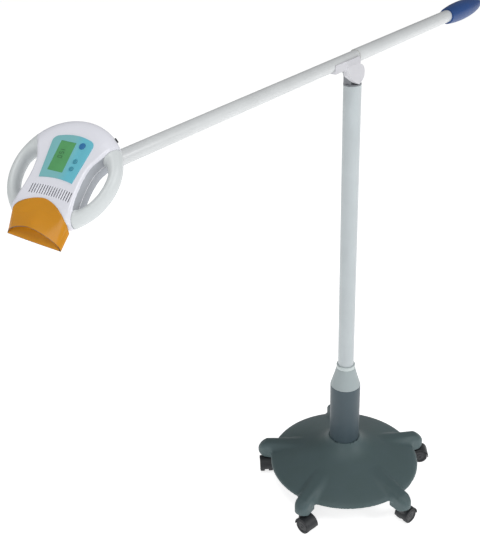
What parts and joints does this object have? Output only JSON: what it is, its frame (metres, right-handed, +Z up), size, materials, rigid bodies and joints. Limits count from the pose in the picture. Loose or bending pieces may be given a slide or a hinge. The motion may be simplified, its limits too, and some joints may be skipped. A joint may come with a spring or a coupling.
{
  "type": "teeth whitening lamp on a mobile stand",
  "caption": "Counterbalanced boom lamp on a castor stand: slate domed base, white pole, tilting arm and a round two-handled head with a control panel and an orange light shield.",
  "frame": {"origin": "on the floor, directly below the pole's axis", "axes": "+Z up along the pole; X along the boom arm, with the lamp head at -X and the counterweight at +X; +Y completes a right-handed frame"},
  "size_m": [1.9356, 0.5716, 1.5396],
  "materials": {
    "slate_plastic": "satin moulded plastic, slate grey",
    "slate_metal": "satin slate grey paint",
    "iron": "rough cast",
    "steel": "bright",
    "collar_plastic": "satin light grey",
    "ring_plastic": "gloss white",
    "pole_paint": "satin white paint",
    "arm_paint": "satin white paint",
    "joint_metal": "painted white, cast",
    "nylon": "plain",
    "cap_blue": "satin blue",
    "shell_white": "semi-gloss white",
    "handle_grey": "semi-gloss pale grey",
    "panel_teal": "membrane foil",
    "lcd_green": "clear window over a green display",
    "key_dark": "satin",
    "key_teal": "satin",
    "board": "circuit board",
    "heat_sink": "bare extrusion",
    "castor_black": "matt black",
    "castor_tread": "matt",
    "outlet_glass": "clear",
    "shield_orange": "translucent orange"
  },
  "bodies": {
    "stand": {"base_cover": "slate_plastic", "ballast_plate": "iron", "pole_socket": "iron", "column_sleeve": "slate_metal", "cone_collar": "collar_plastic", "pole_ring": "ring_plastic", "pole": "pole_paint", "pole_bush": "nylon"},
    "castor_1": {"castor_1_body": "castor_black", "castor_1_axle": "steel"},
    "castor_1_left": {"castor_1_wheel_left": "castor_tread"},
    "castor_1_right": {"castor_1_wheel_right": "castor_tread"},
    "castor_2": {"castor_2_body": "castor_black", "castor_2_axle": "steel"},
    "castor_2_left": {"castor_2_wheel_left": "castor_tread"},
    "castor_2_right": {"castor_2_wheel_right": "castor_tread"},
    "castor_3": {"castor_3_body": "castor_black", "castor_3_axle": "steel"},
    "castor_3_left": {"castor_3_wheel_left": "castor_tread"},
    "castor_3_right": {"castor_3_wheel_right": "castor_tread"},
    "castor_4": {"castor_4_body": "castor_black", "castor_4_axle": "steel"},
    "castor_4_left": {"castor_4_wheel_left": "castor_tread"},
    "castor_4_right": {"castor_4_wheel_right": "castor_tread"},
    "castor_5": {"castor_5_body": "castor_black", "castor_5_axle": "steel"},
    "castor_5_left": {"castor_5_wheel_left": "castor_tread"},
    "castor_5_right": {"castor_5_wheel_right": "castor_tread"},
    "swivel": {"swivel_head": "joint_metal"},
    "arm": {"saddle_bracket": "joint_metal", "hinge_pin": "steel", "hinge_nut": "steel", "arm_front_tube": "arm_paint", "arm_rear_tube": "arm_paint", "arm_bush": "nylon", "counterweight": "iron", "arm_end_cap": "cap_blue"},
    "socket": {"head_socket": "joint_metal"},
    "knuckle": {"head_knuckle": "joint_metal", "turn_pin": "steel"},
    "head": {"front_shell": "shell_white", "rear_shell": "shell_white", "right_handle": "handle_grey", "left_handle": "handle_grey", "control_panel": "panel_teal", "lcd_window": "lcd_green", "control_board": "board", "heat_sink": "heat_sink", "led_board": "board", "outlet_window": "outlet_glass", "fan_frame": "castor_black", "power_inlet": "castor_black", "tilt_pin": "steel"},
    "power_key": {"power_button": "key_dark"},
    "time_key": {"time_button": "key_teal"},
    "start_key": {"start_button": "key_teal"},
    "fan": {"fan_rotor": "castor_black"},
    "shield": {"light_shield": "shield_orange"}
  },
  "joints": [
    {"name": "castor_1_swivel", "type": "hinge", "parent": "stand", "child": "castor_1", "pos_m": [-0.27058, -0.01513, 0.06], "axis": [0, 0, 1], "continuous": true},
    {"name": "castor_1_left_roll", "type": "hinge", "parent": "castor_1", "child": "castor_1_left", "pos_m": [-0.27401, -0.0328, 0.025], "axis": [0.9816, -0.1908, 0], "continuous": true},
    {"name": "castor_1_right_roll", "type": "hinge", "parent": "castor_1", "child": "castor_1_right", "pos_m": [-0.27401, -0.0328, 0.025], "axis": [0.9816, -0.1908, 0], "continuous": true},
    {"name": "castor_2_swivel", "type": "hinge", "parent": "stand", "child": "castor_2", "pos_m": [-0.06923, -0.26201, 0.06], "axis": [0, 0, 1], "continuous": true},
    {"name": "castor_2_left_roll", "type": "hinge", "parent": "castor_2", "child": "castor_2_left", "pos_m": [-0.05156, -0.26544, 0.025], "axis": [0.1908, 0.9816, 0], "continuous": true},
    {"name": "castor_2_right_roll", "type": "hinge", "parent": "castor_2", "child": "castor_2_right", "pos_m": [-0.05156, -0.26544, 0.025], "axis": [0.1908, 0.9816, 0], "continuous": true},
    {"name": "castor_3_swivel", "type": "hinge", "parent": "stand", "child": "castor_3", "pos_m": [0.22779, -0.1468, 0.06], "axis": [0, 0, 1], "continuous": true},
    {"name": "castor_3_left_roll", "type": "hinge", "parent": "castor_3", "child": "castor_3_left", "pos_m": [0.23812, -0.16155, 0.025], "axis": [0.8192, 0.5736, 0], "continuous": true},
    {"name": "castor_3_right_roll", "type": "hinge", "parent": "castor_3", "child": "castor_3_right", "pos_m": [0.23812, -0.16155, 0.025], "axis": [0.8192, 0.5736, 0], "continuous": true},
    {"name": "castor_4_swivel", "type": "hinge", "parent": "stand", "child": "castor_4", "pos_m": [0.21001, 0.17128, 0.06], "axis": [0, 0, 1], "continuous": true},
    {"name": "castor_4_left_roll", "type": "hinge", "parent": "castor_4", "child": "castor_4_left", "pos_m": [0.22681, 0.17773, 0.025], "axis": [-0.3584, 0.9336, 0], "continuous": true},
    {"name": "castor_4_right_roll", "type": "hinge", "parent": "castor_4", "child": "castor_4_right", "pos_m": [0.22681, 0.17773, 0.025], "axis": [-0.3584, 0.9336, 0], "continuous": true},
    {"name": "castor_5_swivel", "type": "hinge", "parent": "stand", "child": "castor_5", "pos_m": [-0.098, 0.25266, 0.06], "axis": [0, 0, 1], "continuous": true},
    {"name": "castor_5_left_roll", "type": "hinge", "parent": "castor_5", "child": "castor_5_left", "pos_m": [-0.11199, 0.24133, 0.025], "axis": [0.6293, -0.7771, 0], "continuous": true},
    {"name": "castor_5_right_roll", "type": "hinge", "parent": "castor_5", "child": "castor_5_right", "pos_m": [-0.11199, 0.24133, 0.025], "axis": [0.6293, -0.7771, 0], "continuous": true},
    {"name": "arm_swivel", "type": "hinge", "parent": "stand", "child": "swivel", "pos_m": [0, 0, 1.373], "axis": [0, 0, 1], "continuous": true},
    {"name": "arm_tilt", "type": "hinge", "parent": "swivel", "child": "arm", "pos_m": [0, 0, 1.4038], "axis": [0, 1, 0], "range_deg": [-30, 40]},
    {"name": "head_roll", "type": "hinge", "parent": "arm", "child": "socket", "pos_m": [-0.893, 0, 1.447], "axis": [1, 0, 0], "range_deg": [-90, 90]},
    {"name": "head_turn", "type": "hinge", "parent": "socket", "child": "knuckle", "pos_m": [-0.925, 0, 1.447], "axis": [0, -0.0541, 0.9985], "range_deg": [-50, 50]},
    {"name": "head_tilt", "type": "hinge", "parent": "knuckle", "child": "head", "pos_m": [-0.95452, -0.00536, 1.44671], "axis": [0.1788, -0.9824, -0.0532], "range_deg": [-36, 75]},
    {"name": "fan_spin", "type": "hinge", "parent": "head", "child": "fan", "pos_m": [-1.02837, 0.01602, 1.4429], "axis": [-0.6125, -0.1535, 0.7754], "continuous": true},
    {"name": "shield_pull", "type": "slide", "parent": "head", "child": "shield", "axis": [-0.77, -0.1061, -0.6292], "range_m": [0, 0.05]},
    {"name": "power_press", "type": "slide", "parent": "head", "child": "power_key", "axis": [0.6125, 0.1535, -0.7754], "range_m": [0, 0.0008], "stiffness_N_per_m": 800},
    {"name": "time_press", "type": "slide", "parent": "head", "child": "time_key", "axis": [0.6125, 0.1535, -0.7754], "range_m": [0, 0.0008], "stiffness_N_per_m": 800},
    {"name": "start_press", "type": "slide", "parent": "head", "child": "start_key", "axis": [0.6125, 0.1535, -0.7754], "range_m": [0, 0.0008], "stiffness_N_per_m": 800}
  ]
}
